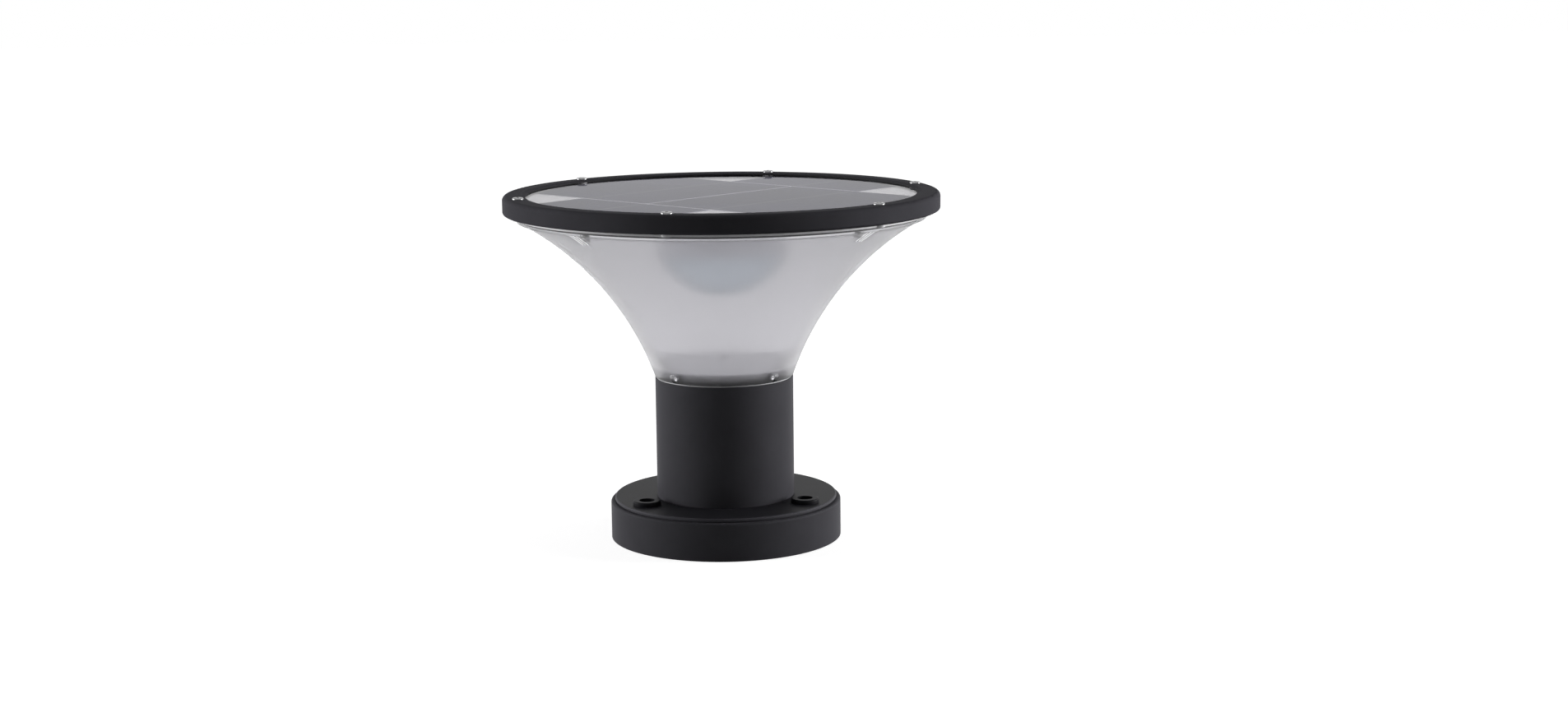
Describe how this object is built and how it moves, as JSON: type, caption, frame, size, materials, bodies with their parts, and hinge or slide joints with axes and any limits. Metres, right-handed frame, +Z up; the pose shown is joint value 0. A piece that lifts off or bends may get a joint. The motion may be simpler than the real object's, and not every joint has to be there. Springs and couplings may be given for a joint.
{
  "type": "solar wall-top light",
  "caption": "Solar light for a wall top: bolt-down base and post with the battery, clear flared shade around a light dome, and a round solar panel in a black bezel on top.",
  "frame": {"origin": "middle of the base skirt's underside, on the wall top", "axes": "+Z up along the post to the solar panel, -Y to the front, +X to the right seen from the front"},
  "size_m": [0.25, 0.25, 0.2021],
  "materials": {
    "black_casting": "satin",
    "black_plastic": "matte",
    "button_red": "satin",
    "black_rubber": "matte",
    "clear_silicone": "satin",
    "pad_foam": "matte",
    "zinc_screw": "satin",
    "dark_screw": "polished",
    "reflector_metal": "polished",
    "nickel": "satin",
    "battery_wrap": "gloss",
    "clear_shade": "gloss",
    "tray_plastic": "satin",
    "housing_plastic": "satin",
    "dome_plastic": "satin",
    "led_board_white": "satin",
    "led_phosphor": "satin",
    "board_green": "satin",
    "board_parts": "satin",
    "backsheet_white": "satin",
    "silicon": "satin",
    "panel_glass": "gloss"
  },
  "bodies": {
    "lamp": {"base_skirt": "black_casting", "flange_plate": "black_casting", "post_tube": "black_casting", "post_cap": "black_casting", "top_bezel": "black_casting", "base_hatch": "black_plastic", "switch_body": "black_plastic", "switch_nut": "black_plastic", "battery_cradle_lower": "black_plastic", "battery_cradle_upper": "black_plastic", "hatch_seal": "black_rubber", "switch_seal": "black_rubber", "cable_grommet": "black_rubber", "housing_grommet": "black_rubber", "shade_gasket": "black_rubber", "glass_gasket": "black_rubber", "shade_foot_gasket": "clear_silicone", "battery_pad": "pad_foam", "flange_screws": "zinc_screw", "hatch_screws": "zinc_screw", "post_screws": "zinc_screw", "cap_screws": "zinc_screw", "shade_head_screws": "zinc_screw", "housing_screws": "zinc_screw", "board_screws": "zinc_screw", "switch_spring": "zinc_screw", "shade_foot_screws": "dark_screw", "bezel_screws": "dark_screw", "foot_reflector": "reflector_metal", "battery_links": "nickel", "battery_cells": "battery_wrap", "shade": "clear_shade", "panel_tray": "tray_plastic", "led_housing": "housing_plastic", "led_dome": "dome_plastic", "led_board": "led_board_white", "led_chips": "led_phosphor", "control_board": "board_green", "control_parts": "board_parts", "panel_backsheet": "backsheet_white", "solar_cells": "silicon", "panel_glass": "panel_glass"},
    "button": {"switch_button": "button_red"}
  },
  "joints": [
    {"name": "button_press", "type": "slide", "parent": "lamp", "child": "button", "axis": [0, 0, 1], "range_m": [0, 0.002], "stiffness_N_per_m": 800, "springref_m": -0.002, "deforming": ["switch_spring"]}
  ]
}
